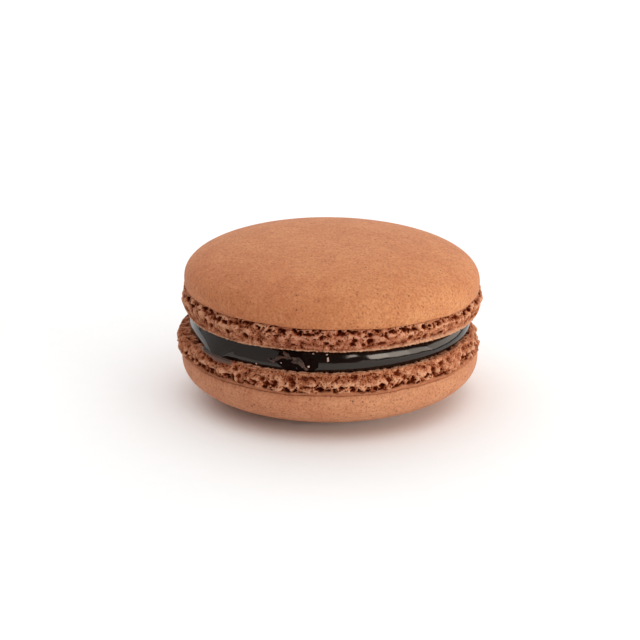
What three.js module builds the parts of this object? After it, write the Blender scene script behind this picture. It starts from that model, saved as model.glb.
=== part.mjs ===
// A chocolate French macaron: two baked meringue shells, each with a smooth domed skin over a rough
// foot, held together by a layer of dark filling that bulges out between them.
// Millimetres, +Z up. The origin is on the surface that the macaron rests on, under its middle.
import * as THREE from "three";

// Driving dimensions of the lower shell, which lies on its crown. Its foot spreads at one place on
// the left, by `spread` at the baked edge.
const LOWER = {
  name: "lower_shell",
  radius: 23.6,
  squareness: 2.56,
  crownHeight: 6.9,
  lipHeight: 1.0,
  footHeight: 3.4,
  bakedInset: 0.55,
  lean: 0,
  spread: 0.78,
  restRadius: 6,
  seed: 11,
};

// The upper shell, crown up, is a little smaller, rounder on top and set slightly askew. Its foot
// rose unevenly, so that its skin slopes up by `lean` towards LEAN_ANGLE.
const UPPER = {
  name: "upper_shell",
  radius: 23.4,
  squareness: 2.27,
  crownHeight: 6.85,
  lipHeight: 1.15,
  footHeight: 3.89,
  bakedInset: 0.4,
  lean: 0.0232,
  spread: 0,
  restRadius: 0,
  seed: 29,
};
const UPPER_SHIFT = 0.47;
const UPPER_ROLL = THREE.MathUtils.degToRad(-0.34);
const UPPER_PITCH = THREE.MathUtils.degToRad(-2.4);
const LEAN_ANGLE = THREE.MathUtils.degToRad(153);

// The foot: its outline runs from the baked edge out to the fullest part and in again under the skin
const SKIN_EDGE_INSET = 0.15;
const FOOT_FULLNESS = 0.72;
const FOOT_SKEW = 1.65;
const SPREAD_ANGLE = THREE.MathUtils.degToRad(174);
const SPREAD_WIDTH = THREE.MathUtils.degToRad(14);

// The skin's wavy edge over the foot and the whole shell's uneven roundness, each with how many waves
// it has on the way round
const SKIN_WAVE = 0.08;
const SKIN_WAVES = [11, 23, 37];
const OUTLINE_DRIFT = 0.12;
const OUTLINE_WAVES = [2, 3, 5];

// The relief of the foot: crags with finer ones on them, and cavities of different sizes
const CRAG_SIZE = 1.9;
const CRAG_DEPTH = 0.34;
const FINE_CRAG_SHARE = 0.6;
const CAVITY_SPACING = 1.5;
const CAVITY_RADIUS = 0.95;
const SMALLEST_CAVITY = 0.55;
const CAVITY_DEPTH = 0.8;

// The filling: its radius at each shell's face, and how far its edge bulges between them
const FILLING_THICKNESS = 2.48;
const FILLING_SHIFT = 0.15;
const FILLING_LOW_RADIUS = 22.1;
const FILLING_HIGH_RADIUS = 21.4;
const FILLING_BULGE = 0.75;
const FILLING_DRIFT = 0.08;
const FILLING_WAVES = [3, 7, 12];
const FILLING_SEED = 5;
const CONTACT_GAP = 0.15;
// Where it is squeezed out on to the lower foot: the middle of the lobe, its half width and its reach
const LOBE_ANGLE = THREE.MathUtils.degToRad(217);
const LOBE_SPREAD = THREE.MathUtils.degToRad(13);
const LOBE_REACH = 0.6;

// How finely each part is faceted
const FOOT_SEGMENTS = 216;
const SKIN_SEGMENTS = 72;
const FOOT_ROWS = 9;
const LIP_ROWS = 2;
const CROWN_ROWS = 9;
const CROWN_EASE = 1.35;
const FILLING_SEGMENTS = 96;
const FILLING_ROWS = 7;

const TURN = 2 * Math.PI;
const smooth = (low, high, x) => THREE.MathUtils.smoothstep(x, low, high);

// A repeatable number from 0 to 1 for each cell of a grid
function hash(ix, iy, iz, seed) {
  let h =
    Math.imul(ix, 0x8da6b343) ^ Math.imul(iy, 0xd8163841) ^
    Math.imul(iz, 0xcb1ab31f) ^ Math.imul(seed, 0x9e3779b1);
  h = Math.imul(h ^ (h >>> 15), 0x2c1b3c6d);
  h = Math.imul(h ^ (h >>> 12), 0x297a2d39);
  return ((h ^ (h >>> 15)) >>> 0) / 2 ** 32;
}

// Smooth noise from -1 to 1, whose bumps are about `size` across
function bumps(point, size, seed) {
  const [x, y, z] = point.toArray().map((v) => v / size);
  const [ix, iy, iz] = [x, y, z].map(Math.floor);
  const ease = (t) => t * t * (3 - 2 * t);
  const [fx, fy, fz] = [ease(x - ix), ease(y - iy), ease(z - iz)];
  let sum = 0;
  for (const dx of [0, 1])
    for (const dy of [0, 1])
      for (const dz of [0, 1]) {
        const weight = (dx ? fx : 1 - fx) * (dy ? fy : 1 - fy) * (dz ? fz : 1 - fz);
        sum += weight * hash(ix + dx, iy + dy, iz + dz, seed);
      }
  return 2 * sum - 1;
}

// How deep a point lies in the nearest of the cavities scattered one to a cell, from 0 to 1
function cavities(point, spacing, radius, seed) {
  const cell = point.toArray().map((v) => Math.floor(v / spacing));
  let deepest = 0;
  for (let dx = -1; dx <= 1; dx++)
    for (let dy = -1; dy <= 1; dy++)
      for (let dz = -1; dz <= 1; dz++) {
        const [ix, iy, iz] = [cell[0] + dx, cell[1] + dy, cell[2] + dz];
        const centre = new THREE.Vector3(
          (ix + hash(ix, iy, iz, seed + 1)) * spacing,
          (iy + hash(ix, iy, iz, seed + 2)) * spacing,
          (iz + hash(ix, iy, iz, seed + 3)) * spacing,
        );
        const size = hash(ix, iy, iz, seed + 4);
        const reach = radius * THREE.MathUtils.lerp(SMALLEST_CAVITY, 1, size);
        const depth = 1 - centre.distanceTo(point) / reach;
        deepest = Math.max(deepest, depth);
      }
  return smooth(0, 0.75, deepest);
}

// A slow wave round the shell, from about -1 to 1, that differs with the seed
function drift(angle, seed, waves) {
  let sum = 0;
  waves.forEach((count, i) => {
    sum += Math.sin(count * angle + seed * (i + 1.7)) / (i + 1);
  });
  return sum / 1.5;
}

// A ring of points, anticlockwise seen from +Z, from radius and height as functions of the angle
function ring(count, radiusAt, heightAt) {
  return Array.from({ length: count }, (_, i) => {
    const angle = (i / count) * TURN;
    const r = radiusAt(angle);
    return new THREE.Vector3(r * Math.cos(angle), r * Math.sin(angle), heightAt(angle));
  });
}

// A closed mesh through rings listed from the bottom pole, out and up, to the top pole. Rings may
// differ in their number of points: each step between two of them takes the side that lags behind.
function loft(bottomPole, rings, topPole) {
  const points = [bottomPole, ...rings.flat(), topPole];
  const faces = [];
  const starts = [];
  let next = 1;
  for (const r of rings) {
    starts.push(next);
    next += r.length;
  }
  const top = points.length - 1;
  const first = rings[0].length;
  for (let i = 0; i < first; i++) faces.push(0, starts[0] + ((i + 1) % first), starts[0] + i);
  for (let k = 0; k + 1 < rings.length; k++) {
    const [a, b] = [rings[k].length, rings[k + 1].length];
    for (let i = 0, j = 0; i < a || j < b; ) {
      const low = starts[k] + (i % a);
      const high = starts[k + 1] + (j % b);
      if (j === b || (i < a && (i + 1) / a <= (j + 1) / b)) {
        faces.push(low, starts[k] + ((i + 1) % a), high);
        i++;
      } else {
        faces.push(low, starts[k + 1] + ((j + 1) % b), high);
        j++;
      }
    }
  }
  const last = rings.length - 1;
  const count = rings[last].length;
  for (let i = 0; i < count; i++)
    faces.push(starts[last] + i, starts[last] + ((i + 1) % count), top);
  const geometry = new THREE.BufferGeometry().setFromPoints(points).setIndex(faces);
  geometry.computeVertexNormals();
  return geometry;
}

// Radius of the foot's plain outline, from its baked edge (u = 0) to the skin (u = 1): a straight
// line between the two with a bulge on it
function footOutline(shell, u) {
  const baked = shell.radius - shell.bakedInset;
  const underSkin = shell.radius - SKIN_EDGE_INSET;
  const bulge = FOOT_FULLNESS * Math.sin(Math.PI * u ** FOOT_SKEW);
  return THREE.MathUtils.lerp(baked, underSkin, u) + bulge;
}

// How far crags stand out of the foot (+) and cavities sink into it (-), fading at the baked edge
function footRelief(shell, point, u) {
  const crags =
    bumps(point, CRAG_SIZE, shell.seed) +
    FINE_CRAG_SHARE * bumps(point, CRAG_SIZE / 2, shell.seed + 7);
  const sunk = cavities(point, CAVITY_SPACING, CAVITY_RADIUS, shell.seed);
  const roughness = smooth(0, 0.25, u) * (1 - 0.8 * smooth(0.8, 1, u));
  const cavityShare = smooth(0.1, 0.45, u) * (1 - smooth(0.85, 0.95, u));
  return CRAG_DEPTH * roughness * crags - CAVITY_DEPTH * cavityShare * sunk;
}

// One shell in its own frame: its flat baked face is at z = 0 and its crown is up
function shellGeometry(shell) {
  const outline = (angle) => OUTLINE_DRIFT * drift(angle, shell.seed + 3, OUTLINE_WAVES);
  const rise = (r, angle) => shell.lean * r * Math.cos(angle - LEAN_ANGLE);
  const skinEdge = (angle) =>
    shell.footHeight + rise(shell.radius, angle) + SKIN_WAVE * drift(angle, shell.seed, SKIN_WAVES);
  const spread = (angle, u) =>
    shell.spread * (1 - u) * Math.exp(-(((angle - SPREAD_ANGLE) / SPREAD_WIDTH) ** 2));
  const rings = [];
  for (let row = 0; row <= FOOT_ROWS; row++) {
    const u = row / FOOT_ROWS;
    const plain = footOutline(shell, u);
    const radiusAt = (angle) => {
      const z = u * skinEdge(angle);
      const point = new THREE.Vector3(plain * Math.cos(angle), plain * Math.sin(angle), z);
      return plain + outline(angle) + spread(angle, u) + footRelief(shell, point, u);
    };
    rings.push(ring(FOOT_SEGMENTS, radiusAt, (angle) => u * skinEdge(angle)));
  }
  for (let row = 1; row <= LIP_ROWS; row++) {
    const w = 1 - row / LIP_ROWS;
    const r = shell.radius - SKIN_EDGE_INSET * w * w;
    const heightAt = (angle) => {
      const top = shell.footHeight + shell.lipHeight + rise(r, angle);
      return THREE.MathUtils.lerp(top, skinEdge(angle), w);
    };
    rings.push(ring(SKIN_SEGMENTS, (angle) => r + outline(angle), heightAt));
  }
  const widest = shell.footHeight + shell.lipHeight;
  const crown = widest + shell.crownHeight;
  for (let row = 1; row < CROWN_ROWS; row++) {
    const angleUp = (Math.PI / 2) * (row / CROWN_ROWS) ** CROWN_EASE;
    const r = shell.radius * Math.cos(angleUp) ** (2 / shell.squareness);
    const z = widest + shell.crownHeight * Math.sin(angleUp) ** (2 / shell.squareness);
    const share = r / shell.radius;
    const heightAt = (angle) => z + rise(r, angle);
    rings.push(ring(SKIN_SEGMENTS, (angle) => r + share * outline(angle), heightAt));
  }
  if (shell.restRadius) rings.push(ring(SKIN_SEGMENTS, () => shell.restRadius, () => crown));
  return loft(new THREE.Vector3(0, 0, 0), rings, new THREE.Vector3(0, 0, crown));
}

// The filling: a disc between the shells' flat faces, with a round bulging edge and one lobe that
// is squeezed out over the lower shell's edge
function fillingGeometry(bottom, topAt) {
  const lobe = (angle) => Math.exp(-(((angle - LOBE_ANGLE) / LOBE_SPREAD) ** 2));
  const wander = (angle) => FILLING_DRIFT * drift(angle, FILLING_SEED, FILLING_WAVES);
  const rings = [];
  for (let row = 0; row < FILLING_ROWS; row++) {
    const v = row / (FILLING_ROWS - 1);
    const plain =
      THREE.MathUtils.lerp(FILLING_LOW_RADIUS, FILLING_HIGH_RADIUS, v) +
      FILLING_BULGE * Math.sin(Math.PI * v);
    const radiusAt = (angle) => plain + wander(angle) + LOBE_REACH * (1 - v) * lobe(angle);
    const heightAt = (angle) => {
      const [x, y] = [FILLING_HIGH_RADIUS * Math.cos(angle), FILLING_HIGH_RADIUS * Math.sin(angle)];
      return THREE.MathUtils.lerp(bottom + CONTACT_GAP, topAt(x, y) - CONTACT_GAP, v);
    };
    rings.push(ring(FILLING_SEGMENTS, radiusAt, heightAt));
  }
  const bottomPole = new THREE.Vector3(0, 0, bottom + CONTACT_GAP);
  const topPole = new THREE.Vector3(0, 0, topAt(0, 0) - CONTACT_GAP);
  return loft(bottomPole, rings, topPole);
}

const skin = new THREE.Color().setRGB(0.78, 0.52, 0.36, THREE.SRGBColorSpace);
const chocolate = new THREE.Color().setRGB(0.1, 0.07, 0.06, THREE.SRGBColorSpace);
const shellFinish = () =>
  new THREE.MeshStandardMaterial({ color: skin, roughness: 0.85, metalness: 0 });
const fillingFinish = new THREE.MeshStandardMaterial({
  color: chocolate,
  roughness: 0.12,
  metalness: 0,
});

function build() {
  const macaron = new THREE.Group();

  const lower = new THREE.Mesh(shellGeometry(LOWER), shellFinish());
  lower.name = LOWER.name;
  const lowerFace = LOWER.crownHeight + LOWER.lipHeight + LOWER.footHeight;
  lower.position.set(-UPPER_SHIFT / 2, 0, lowerFace);
  lower.rotation.x = Math.PI;
  macaron.add(lower);

  const upper = new THREE.Mesh(shellGeometry(UPPER), shellFinish());
  upper.name = UPPER.name;
  upper.position.set(UPPER_SHIFT / 2, 0, lowerFace + FILLING_THICKNESS);
  upper.rotation.set(UPPER_PITCH, UPPER_ROLL, 0);
  macaron.add(upper);

  // The upper shell's flat face, as a height over each point of the filling
  const normal = new THREE.Vector3(0, 0, 1).applyEuler(upper.rotation);
  const faceAt = (x, y) => {
    const across = x + FILLING_SHIFT - upper.position.x;
    return upper.position.z - (normal.x * across + normal.y * y) / normal.z;
  };
  const filling = new THREE.Mesh(fillingGeometry(lowerFace, faceAt), fillingFinish);
  filling.name = "filling";
  filling.position.x = FILLING_SHIFT;
  macaron.add(filling);

  // The macaron stands over the origin by the middle of its whole outline
  const box = new THREE.Box3().setFromObject(macaron, true);
  const middle = box.getCenter(new THREE.Vector3());
  macaron.position.set(-middle.x, -middle.y, -box.min.z);
  return macaron;
}

export default build();
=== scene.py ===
"""A chocolate macaron built round the fixed frame of its solids: two baked shells, each a smooth
domed skin over a crumbly, porous foot, and a dark glossy filling squeezed out between them.
Lengths are in millimetres throughout, and become metres where a mesh, lamp or camera is made."""
import bpy
import numpy as np
from mathutils import Euler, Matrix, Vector


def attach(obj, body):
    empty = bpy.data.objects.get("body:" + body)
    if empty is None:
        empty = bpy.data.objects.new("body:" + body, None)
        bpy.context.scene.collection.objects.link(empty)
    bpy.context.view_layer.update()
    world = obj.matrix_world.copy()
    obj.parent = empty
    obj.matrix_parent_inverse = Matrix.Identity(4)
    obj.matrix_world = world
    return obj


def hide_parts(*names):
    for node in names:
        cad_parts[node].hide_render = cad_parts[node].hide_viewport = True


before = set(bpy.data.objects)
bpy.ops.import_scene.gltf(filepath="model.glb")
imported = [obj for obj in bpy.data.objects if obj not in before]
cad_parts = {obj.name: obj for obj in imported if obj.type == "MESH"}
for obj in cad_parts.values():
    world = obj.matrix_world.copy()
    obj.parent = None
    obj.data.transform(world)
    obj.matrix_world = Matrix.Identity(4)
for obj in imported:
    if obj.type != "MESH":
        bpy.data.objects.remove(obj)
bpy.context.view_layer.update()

MM = 0.001
TURN = 2 * np.pi


def srgb(red, green, blue):
    """A linear colour from the 0 to 255 numbers of a picture."""
    c = np.array([red, green, blue]) / 255
    linear = np.where(c <= 0.04045, c / 12.92, ((c + 0.055) / 1.055) ** 2.4)
    return (*(float(x) for x in linear), 1)


# The two shells, each with its flat baked face at 0 and its crown up. The lower one's foot spreads at
# the left. The upper one is smaller, rounder, set to the right and tilted, and its skin slopes. Each
# has the two browns of its skin, and the factor of painted light that lightens its skin at the front
# right.
LOWER = dict(
    name="lower", radius=23.6, squareness=2.56, crown=6.9, lip=1.0, foot=3.4,
    baked_inset=0.55, lean=0.0, spread=0.88, pinch=0.6, droop=0.16, band=0.8, edge_highlight=0.1,
    droop_angle=np.radians(75), droop_width=np.radians(50), filmed=1.0, seed=11,
    pale=srgb(211, 149, 107), deep=srgb(195, 129, 89), side_light=(1, 1, 1, 1),
)
UPPER = dict(
    name="upper", radius=23.4, squareness=2.36, crown=6.81, lip=1.15, foot=3.89,
    baked_inset=0.4, lean=0.0232, spread=0.0, pinch=0.0, droop=0.18, band=0.95, edge_highlight=1.0,
    droop_angle=np.radians(333), droop_width=np.radians(20), filmed=0.0, seed=29,
    pale=srgb(205, 136, 86), deep=srgb(190, 117, 70), side_light=(1.16, 1.28, 1.38, 1),
)
UPPER_SHIFT = 0.47
UPPER_ROLL = np.radians(-0.34)
UPPER_PITCH = np.radians(-2.4)
LEAN_ANGLE = np.radians(153)

# What is added to a shell's seed for each of its noises
OWN_SEED = dict(
    outline=3, fine_crags=7, hang=9, groove=40, caves=50, pores=70, pits=90, lumps=130,
    warp=200, patch=300, jag=301,
)

# The foot's outline and the slow waves round a shell
SKIN_EDGE_INSET = 0.15
FOOT_FULLNESS = 0.72
FOOT_SKEW = 1.65
SPREAD_ANGLE = np.radians(176)
SPREAD_WIDTH = np.radians(17)
PINCH_WIDTH = np.radians(30)
EDGE_WAVE = 0.06
EDGE_WAVES = (5, 9, 17, 29, 43)
SKIN_WAVE = 0.08
SKIN_WAVES = (11, 23, 37)
OUTLINE_DRIFT = 0.12
OUTLINE_WAVES = (2, 3, 5)
WAVE_PHASE = 1.7
WAVE_SCALE = 1.5

# Heights on a foot are shares of it, from 0 at the baked edge to 1 at the skin. The pale band along
# the baked edge, a painted highlight, is full up to the first of these and gone at the second, which
# is more at its widest.
PALE_FULL = 0.03
PALE_HEIGHT = 0.12
PALE_MORE = 0.2
PALE_ANGLE = np.radians(316)
PALE_WIDTH = np.radians(28)

# The foot's large relief, as in the solids, and the heights between which it fades in and out
CRAG_SIZE = 1.9
CRAG_DEPTH = 0.34
FINE_CRAG_SHARE = 0.6
CRAG_START = (0, 0.25)
CRAG_END = (0.8, 1)
CRAG_LOSS = 0.8
CAVITY_SPACING = 1.5
CAVITY_RADIUS = 0.95
SMALLEST_CAVITY = 0.55
CAVITY_WALL = 0.75
CAVITY_DEPTH = 0.8
CAVITY_SHOWN = 0.45
CAVITY_START = (0.1, 0.45)
CAVITY_END = (0.85, 0.95)

# The foot's fine relief: lumps of three sizes, a broken groove with flat caves in it under the skin,
# and pores and pits all over. It ends at a smooth band, whose border wanders, and is coarser in the
# upper part. The coarse part and the groove start at depths below that border.
WARP = 0.2
WARP_SIZE = 0.7
PATCH_SIZE = 2.6
JAG_SIZE = 0.8
BORDER_WANDER = 0.06
BORDER_FADE = 0.06
ROUGH_START = (-0.05, 0.06)
COARSE_DEPTHS = (0.42, 0.25)
COARSE_WANDER = 0.1
LUMP_MEAN = 0.3
LUMPS = (
    dict(size=0.85, height=0.13, low=0.35, coarse=0.85),
    dict(size=0.43, height=0.13, low=0.5, coarse=0.5),
    dict(size=0.22, height=0.12, low=1.0, coarse=0.0),
)
GROOVE_DEPTHS = (0.3, 0.18)
GROOVE_BREAK_SIZE = 1.3
GROOVE_BREAKS = (-0.5, 0.3)
GROOVE_DEPTH = 0.35
CAVE_SPACING = 0.62
CAVE_RADIUS = 0.34
CAVE_DEPTH = 0.7
CAVE_FLATNESS = np.array([0.7, 0.7, 1.5])
PORE_SPACING = 0.55
PORE_RADIUS = 0.22
PORE_DEPTH = 0.4
LOW_PORES = 0.5
PIT_SPACING = 0.32
PIT_RADIUS = 0.14
PIT_DEPTH = 0.28
FINE_SUNK = 0.1
RELIEF_LIMIT = 0.18
# The window for how far a place stands out, which sets painted shade in pores and light on lumps
STAND_ROWS = 7
STAND_COLUMNS = 8

# The crease where the skin ends: the skin's rim curls under and the foot draws in below it. Both
# pieces go on inside the shell, where they are closed.
RIM_ROUND = 0.12
RIM_TURNS = np.radians([-90, -50, -20])
SKIN_INWARD = 1.2
SKIN_RAISED = 0.05
CREASE_DEPTH = 0.16
CREASE_WIDTH = 0.09
FOOT_INWARD = np.array([0.5, 1.5])
FOOT_CLIMB = 0.1
CLOSED_INSIDE = 0.5

# How level the flat spot on the lower shell's crown is
LEVEL = 0.001

# The flat baked face: the shares of its radius where its rows lie, the uneven ring near its edge, the
# part that hangs, how far the ring counts as standing out for the foot's painted shade and light, which
# is less on its lumps, and the round edge
FACE_SHARES = np.array([0.6, 0.85, 0.92, 0.93, 0.94, 0.95, 0.96, 0.97, 0.98, 0.99, 1.0])
RING_START = (0.9, 0.93)
HANG_START = (0.94, 1.0)
FACE_RAISED = 0.1
FACE_LUMPS = (dict(size=0.8, height=0.3, seed=131), dict(size=0.4, height=0.2, seed=132))
FACE_STAND = 0.16
FACE_STAND_LOSS = 1.2
EDGE_ROUND = 0.16
EDGE_TURNS = np.radians([-80, -45, -15])

# How finely a foot and a skin are divided
FOOT_COLUMNS = 1700
FOOT_ROWS = 40
LOW_EDGE = 0.045
SKIN_COLUMNS = 720
LIP_ROWS = 8
CROWN_ROWS = 28
CROWN_EASE = 1.35

# The filling: how thick it is on the upper shell's axis, how far it lies to the right and goes into
# each shell, its radius at the lower shell, how far its side leans in on the way up, how far it
# bulges, and how it is undercut where it meets each shell
FILLING_THICKNESS = 2.48
FILLING_SHIFT = 0.15
FILLING_SUNK = 0.1
FILLING_RADIUS = 22.2
FILLING_TAPER = 0.72
FILLING_BULGE = 0.36
FILLING_UNDERCUT = 0.5
UNDERCUT_SHARE = 0.12
TOP_UNDERCUT = 0.5
TOP_SHARE = 0.09
TOP_START = (np.radians(243), np.radians(252))
TOP_END = (np.radians(335), np.radians(350))
FILLING_COLUMNS = 720
FILLING_ROWS = 36

# Where the side differs, in front, at the left and at the right: how much further out it reaches, how
# much more it leans in, and by what share it bulges more
SIDE_PLACES = (
    dict(angle=np.radians(262), width=np.radians(42), reach=0.5, lean=0.0, bulge=-0.37),
    dict(angle=np.radians(243), width=np.radians(16), reach=0.0, lean=0.5, bulge=-0.6),
    dict(angle=np.radians(328), width=np.radians(22), reach=0.0, lean=1.2, bulge=0.4),
)

# The lobe squeezed out at the front left, the fold beside it, and the slow unevenness of the side
LOBE_REACH = 0.7
LOBE_ANGLE = np.radians(218)
LOBE_WIDTH = np.radians(10)
FOLD_HEIGHT = 0.14
FOLD_ANGLE = np.radians(223)
FOLD_RUN = np.radians(10)
FOLD_WIDTH = np.radians(1.6)
SIDE_WAVES = (
    dict(height=0.03, seed=5, counts=(3, 7, 12), turn=0.0),
    dict(height=0.015, seed=8, counts=(17, 29, 41), turn=0.3),
)

# The film that ran from the lobe over the lower shell's edge. Its length goes from 0 at the filling,
# over the shell's face and down its foot, to 1. It reaches down over a share of the foot.
FILM_ROWS = 40
FILM_THICKNESS = 0.2
FILM_GROWTH = 1.3
FILM_HIDDEN = 0.9
FILM_REACH = 0.3
FILM_ON_FACE = 0.35
FILM_BEND = (FILM_ON_FACE + 0.12, FILM_ON_FACE - 0.06)
FILM_UNDER_FILLING = 0.2
FILM_ANGLE = np.radians(217)
FILM_TURNS = np.radians(7)
FILM_TURNED = 0.7
FILM_HALF_WIDTH = np.radians(13)
FILM_NARROWS = np.radians(6)
FILM_SIDE_FADE = (0.6, 1.15)
FILM_END_FADE = (0.65, 1)
FILM_SWAY = dict(height=0.1, count=11, phase=1)
FILM_WAVER = dict(height=0.04, count=50, phase=0)
FILM_END_WAVER = dict(height=0.06, count=40, phase=0)
FILM_THIN = (0.24, 0.08)
FILM_LOW = (0.35, 0.7)
FILM_LOW_THINNESS = 0.75
FILM_LEVELS = 0.85

# What lies on the filling's side: its radius and height there, and each thing's place as an angle in
# degrees and a share of the height
SIDE_RADIUS = 22.5
SIDE_HEIGHT = 3.4
SHREDS = (
    dict(start=(251.0, 0.9), end=(261.6, 0.16), width=0.8, lift=0.55, seed=3),
    dict(start=(252.6, 0.56), end=(245.0, 0.36), width=0.5, lift=0.5, seed=4),
)
# A near-black patch of painted shade below the shreds
SHADE_PATCH = dict(start=(249.0, 0.48), end=(265.5, 0.3), width=2.7, lift=0.1, seed=8)
CRUMBS = (
    dict(place=(269.2, 0.62), radius=0.17, stretch=2.0, seed=1),
    dict(place=(268.8, 0.82), radius=0.15, stretch=0.7, seed=6),
    dict(place=(261.8, 0.3), radius=0.17, stretch=0.9, seed=2),
    dict(place=(250.8, 0.35), radius=0.13, stretch=0.8, seed=3),
    dict(place=(240.0, 0.12), radius=0.13, stretch=0.8, seed=4),
    dict(place=(263.4, 0.84), radius=0.15, stretch=0.6, seed=5),
)

# A shred's shape: how blunt its ends are, how far and how often it sways, by what share and how often
# its width changes, how thick and rough it is, and which way it stands off the side
SHRED_ROWS = 60
SHRED_COLUMNS = 24
SHRED_BLUNT = 0.06
SHRED_SWAY = 0.35
SHRED_SWAYS = 3
SHRED_UNEVEN = 0.4
SHRED_WIDTHS = 9
SHRED_HALF_THICKNESS = 0.06
SHRED_ROUGHNESS = 0.12
SHRED_GRAINS = (0.5, 0.22)
SHRED_LIMITS = (0.02, 0.97)
SHRED_OUTWARD = 0.25

# A crumb's shape: where its rows end, how uneven it is, and how far and which way its middle stands
# out from the side
CRUMB_ROWS = 11
CRUMB_COLUMNS = 20
CRUMB_CAP = 80
CRUMB_UNEVEN = 0.35
CRUMB_BUMPS = 2.2
CRUMB_OUT = 0.4
CRUMB_OUTWARD = 0.2

# Where painted light and shade change the shells' colour round the macaron: in which direction, and from
# how far to how far
SHADED_SIDE = dict(direction=(-0.7, -0.7, 0), start=8, full=24)
LIT_SIDE = dict(direction=(0.6, -0.75, -0.7), start=0, full=11)
FOOT_LIT_SIDE = dict(direction=(0.6, -0.75, 0), start=12, full=23)
SHADE_FRONT = dict(direction=(0, -1, 0), start=20, full=23)
SHADE_HEIGHT = dict(direction=(0, 0, 1), start=13.5, full=15)

# What the colour is multiplied by there: painted shade on the skins at the front left, painted light on
# the feet at the right, and painted shade where the upper foot faces down at the front
SIDE_SHADE = (0.95, 0.83, 0.86, 1)
SIDE_SHADE_SHARE = 0.6
FOOT_SIDE_LIGHT = (1.16, 1.18, 1.16, 1)
UNDERSIDE_SHADE = (0.86, 0.78, 0.8, 1)

# A skin's mottling and grain, its round spots, and their colours
MOTTLE_SIZE = 4.0
CLOUD_SIZE = 1.1
GRAIN_SIZE = 0.35
DUST = dict(spacing=0.6, radius=0.2, share=0.5)
SPECKS = dict(spacing=1.0, radius=0.24, share=0.45)
PINHOLES = dict(spacing=1.7, radius=0.17, share=0.4)
FLECKS = dict(spacing=1.0, radius=0.14, share=0.12)
STAINS = dict(spacing=3.1, radius=0.75, share=0.5)
SPECK_CORE = 0.4
BAKED_LEVELS = (0.3, 0.7)
GRAIN_LEVELS = (0.38, 0.68)
COCOA = srgb(136, 66, 34)
STAIN = srgb(176, 92, 52)
FLECK = srgb(236, 190, 156)
# The pinholes' near-black is painted shade inside them
PINHOLE_SHADE = srgb(60, 26, 14)

# A foot's colours by how far a place stands out, from the bottom of its pores to the top of its lumps,
# where grain and patches also count: partly its own browns, partly painted shade in the pores and
# painted light on the lumps. Then those of its smooth places, and that of the painted highlight along
# its baked edge
FOOT_LEVELS = (-0.26, 0.2)
FOOT_GRAIN = 0.42
FOOT_PATCHES = 0.16
FOOT_TONES_WITH_SHADE = (
    (0.0, srgb(70, 16, 0)),
    (0.25, srgb(98, 38, 15)),
    (0.5, srgb(150, 86, 58)),
    (0.8, srgb(180, 114, 82)),
    (1.0, srgb(210, 153, 121)),
)
EVEN_FOOT = (srgb(158, 98, 70), srgb(186, 122, 90))
EDGE_HIGHLIGHT = srgb(226, 174, 140)
EDGE_HIGHLIGHT_SHARE = 0.9
EDGE_HIGHLIGHT_BREAKS = (0.22, 0.55)

# The two colours between which each other finish varies, that of thin filling, and the filling's
# roughness, which is more in clouds and where it is thin
CHOCOLATE = (srgb(18, 9, 6), srgb(26, 15, 11))
THIN_CHOCOLATE = srgb(112, 68, 50)
GLOSS = 0.06
CLOUD_DULLS = 0.1
THIN_DULLS = 0.5
SOAKED_CRUST = (srgb(34, 16, 10), srgb(92, 58, 42))
SOAKED_LEVELS = (0.35, 0.65)
# The shade patch's near-black tones are painted shade
SHADE_PATCH_TONES = (srgb(6, 2, 1), srgb(26, 10, 6))
# The crumbs' palest tone is partly a painted highlight
CRUMB_AND_GLINT_TONES = (srgb(170, 120, 100), srgb(240, 214, 200))
WHITE_BOARD = ((0.93, 0.93, 0.93, 1), (0.95, 0.95, 0.95, 1))
FLOOR_HALF = 3000.0

# The studio: boxes at the right, from the front round to the back, and what lights from elsewhere
WARM = (1.0, 0.95, 0.88)
WHITE = (1.0, 1.0, 1.0)
BOXES = (
    dict(name="sliver", azimuth=19, elevation=21, distance=600, size=(60, 120), radiance=7.0),
    dict(name="near", azimuth=41.5, elevation=12.5, distance=600, size=(180, 160), radiance=8.0),
    dict(name="middle", azimuth=60, elevation=12, distance=600, size=(212, 170), radiance=5.9),
    dict(name="far", azimuth=82, elevation=12, distance=600, size=(255, 170), radiance=3.7),
    dict(name="farthest", azimuth=112, elevation=12, distance=600, size=(390, 170), radiance=2.2),
)
SCREENS = (
    dict(name="card", azimuth=-87, elevation=17, distance=600, size=(1100, 360), radiance=0.45),
    dict(name="backdrop", azimuth=180, elevation=22, distance=700, size=(1600, 560), radiance=1.22),
    dict(name="ceiling", azimuth=0, elevation=90, distance=700, size=(1600, 1600), radiance=1.26),
)
ROOM_LIGHT = 0.05

# The photograph: how high and far its camera stands, and where the object is in its frame
FRAME_PIXELS = 640
SENSOR = 36.0
PIXELS_PER_MM = 6.297
VIEW_ELEVATION = np.radians(19.5)
VIEW_DISTANCE = 400.0
NEAREST_SEEN = 10.0
AIM_HEIGHT = 12.36
AIM_PIXEL = (329.0, 316.5)


def cell_hash(ix, iy, iz, seed):
    """Repeatable numbers from 0 to 1, one for each cell: the cell's indices and the seed are
    multiplied by large odd numbers, mixed by exclusive or, and scrambled twice, in 32 bits."""
    whole = 0xFFFFFFFF
    h = (ix * 0x8DA6B343 ^ iy * 0xD8163841 ^ iz * 0xCB1AB31F ^ seed * 0x9E3779B1) & whole
    h = ((h ^ (h >> 15)) * 0x2C1B3C6D) & whole
    h = ((h ^ (h >> 12)) * 0x297A2D39) & whole
    return (h ^ (h >> 15)) / 2.0**32


def cells_of(points, spacing):
    """The whole-number cell that each point is in, and the points in units of the spacing."""
    scaled = points / spacing
    return np.floor(scaled).astype(np.int64), scaled


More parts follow.
